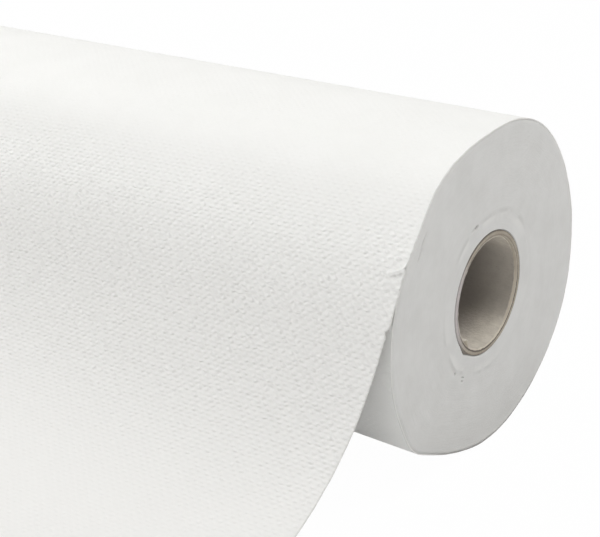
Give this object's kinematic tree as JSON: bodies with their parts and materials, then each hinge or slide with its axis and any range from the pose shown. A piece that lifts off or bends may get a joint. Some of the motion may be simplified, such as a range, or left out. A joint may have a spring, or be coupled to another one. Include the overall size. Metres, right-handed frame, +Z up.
{
  "type": "exam table paper roll",
  "caption": "Wide roll of soft white embossed couch paper on a grey-brown board core, lying on its side with a loose lead sheet falling off the front and lying flat.",
  "frame": {"origin": "on the axis of the core's bore, at mid width", "axes": "+X along the core towards the end that the picture shows, +Y to the back, away from the loose sheet, +Z up"},
  "size_m": [0.5, 0.3256, 0.1149],
  "materials": {
    "board": "matt grey-brown board, plies glued",
    "paper": "soft matt white tissue, finely embossed"
  },
  "bodies": {
    "root": {"core_tube": "board", "paper_web": "paper"}
  },
  "joints": []
}
